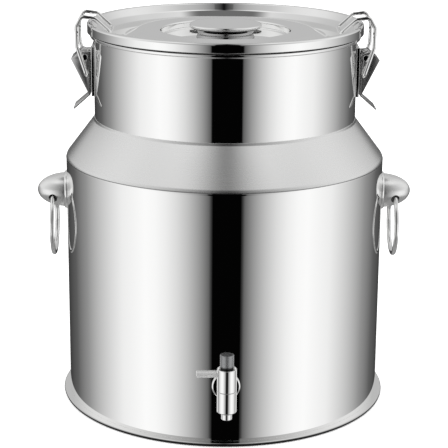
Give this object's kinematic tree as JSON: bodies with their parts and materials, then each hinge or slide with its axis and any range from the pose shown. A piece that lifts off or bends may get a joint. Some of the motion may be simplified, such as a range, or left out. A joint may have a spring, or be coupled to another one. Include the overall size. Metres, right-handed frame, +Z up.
{
  "type": "milk can",
  "caption": "Cylindrical stainless steel milk can with clamped lid, swinging ring handles and a dispensing tap.",
  "frame": {"origin": "centre of the foot ring's circle, on the surface that the can stands on", "axes": "+Z up along the can's axis, -Y to the tap at the front, +X to the right-hand clasp and ring handle"},
  "size_m": [0.416, 0.407, 0.4296],
  "materials": {
    "polished_steel": "mirror polished stainless steel",
    "satin_steel": "satin stainless steel",
    "black_rubber": "matte black rubber"
  },
  "bodies": {
    "can": {"foot_ring": "polished_steel", "base_pan": "polished_steel", "body_shell": "polished_steel", "shoulder": "satin_steel", "neck": "polished_steel", "latch_left_bracket": "polished_steel", "latch_right_bracket": "polished_steel", "latch_left_pivot_pin": "polished_steel", "latch_right_pivot_pin": "polished_steel", "handle_left_plate": "polished_steel", "handle_right_plate": "polished_steel", "handle_left_dome": "polished_steel", "handle_right_dome": "polished_steel", "tap_body": "polished_steel", "tap_flange": "polished_steel", "tap_outer_gasket": "black_rubber", "tap_inner_gasket": "black_rubber", "tap_lock_nut": "polished_steel"},
    "lid": {"lid_pan": "polished_steel", "lid_gasket": "black_rubber", "knob_cap": "polished_steel", "knob_stem": "polished_steel", "knob_washer": "polished_steel", "knob_screw": "polished_steel"},
    "latch_left_lever_body": {"latch_left_lever": "polished_steel"},
    "latch_left_bail_body": {"latch_left_bail": "polished_steel"},
    "handle_left_ring_body": {"handle_left_ring": "polished_steel"},
    "latch_right_lever_body": {"latch_right_lever": "polished_steel"},
    "latch_right_bail_body": {"latch_right_bail": "polished_steel"},
    "handle_right_ring_body": {"handle_right_ring": "polished_steel"},
    "tap_handle": {"tap_spindle": "satin_steel", "tap_o_ring": "black_rubber", "tap_sleeve": "polished_steel", "tap_rod": "satin_steel"}
  },
  "joints": [
    {"name": "lid_turn", "type": "hinge", "parent": "can", "child": "lid", "pos_m": [0, 0, 0.409], "axis": [0, 0, 1], "continuous": true},
    {"name": "latch_right_open", "type": "hinge", "parent": "can", "child": "latch_right_lever_body", "pos_m": [0.1525, 0, 0.3835], "axis": [0, -1, 0], "range_deg": [0, 90]},
    {"name": "latch_right_bail_swing", "type": "hinge", "parent": "latch_right_lever_body", "child": "latch_right_bail_body", "pos_m": [0.15, 0, 0.3635], "axis": [0, -1, 0], "range_deg": [-100, 0]},
    {"name": "handle_right_swing", "type": "hinge", "parent": "can", "child": "handle_right_ring_body", "pos_m": [0.19, 0, 0.2256], "axis": [0, -1, 0], "range_deg": [-7, 95]},
    {"name": "latch_left_open", "type": "hinge", "parent": "can", "child": "latch_left_lever_body", "pos_m": [-0.1525, 0, 0.3835], "axis": [0, 1, 0], "range_deg": [0, 90]},
    {"name": "latch_left_bail_swing", "type": "hinge", "parent": "latch_left_lever_body", "child": "latch_left_bail_body", "pos_m": [-0.15, 0, 0.3635], "axis": [0, 1, 0], "range_deg": [-100, 0]},
    {"name": "handle_left_swing", "type": "hinge", "parent": "can", "child": "handle_left_ring_body", "pos_m": [-0.19, 0, 0.2256], "axis": [0, 1, 0], "range_deg": [-7, 95]},
    {"name": "tap_turn", "type": "hinge", "parent": "can", "child": "tap_handle", "pos_m": [0, -0.215, 0.075], "axis": [0, 0, 1], "range_deg": [0, 90]}
  ],
  "couplings": [
    {"joint": "latch_right_bail_swing", "follows": "latch_right_open", "ratio": -0.82},
    {"joint": "latch_left_bail_swing", "follows": "latch_left_open", "ratio": -0.82}
  ]
}
